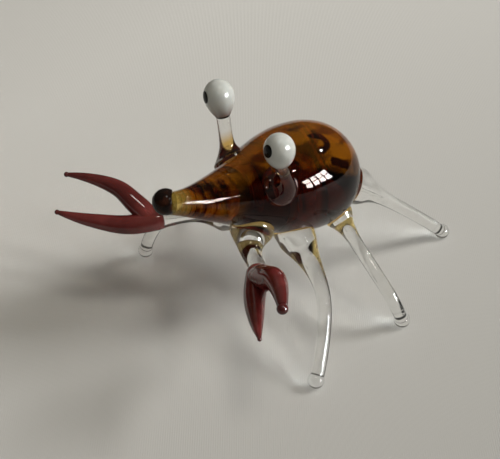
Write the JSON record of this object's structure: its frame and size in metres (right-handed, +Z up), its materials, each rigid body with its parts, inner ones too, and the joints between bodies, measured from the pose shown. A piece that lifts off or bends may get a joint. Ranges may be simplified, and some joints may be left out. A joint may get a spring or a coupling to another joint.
{
  "type": "glass crab figurine",
  "caption": "Flame-worked glass crab with an amber body, clear legs and arms, red claws and white eyes on stalks",
  "frame": {"origin": "on the surface that the feet stand on, under the middle of the whole figure's outline", "axes": "+Z up; the crab faces -Y, so its nose and claws point that way; +X is the crab's left side"},
  "size_m": [0.0704, 0.0886, 0.0568],
  "materials": {
    "amber_glass": "clear amber glass, fire polished, darker towards its middle",
    "dark_glass": "near-black glass, fire polished",
    "clear_glass": "clear colourless glass, fire polished",
    "white_glass": "opaque white glass, fire polished",
    "black_glass": "opaque black glass, fire polished",
    "red_glass": "opaque brick-red glass, fire polished"
  },
  "bodies": {
    "root": {"body": "amber_glass", "nose_bead": "dark_glass", "left_eye_stalk": "clear_glass", "left_eyeball": "white_glass", "left_pupil": "black_glass", "right_eye_stalk": "clear_glass", "right_eyeball": "white_glass", "right_pupil": "black_glass", "left_claw_arm": "clear_glass", "left_claw_finger": "red_glass", "left_claw_horn": "red_glass", "right_claw_arm": "clear_glass", "right_claw_finger": "red_glass", "right_claw_horn": "red_glass", "left_front_leg": "clear_glass", "left_front_foot": "clear_glass", "left_middle_leg": "clear_glass", "left_middle_foot": "clear_glass", "left_rear_leg": "clear_glass", "left_rear_foot": "clear_glass", "right_front_leg": "clear_glass", "right_front_foot": "clear_glass", "right_middle_leg": "clear_glass", "right_middle_foot": "clear_glass", "right_rear_leg": "clear_glass", "right_rear_foot": "clear_glass"}
  },
  "joints": []
}
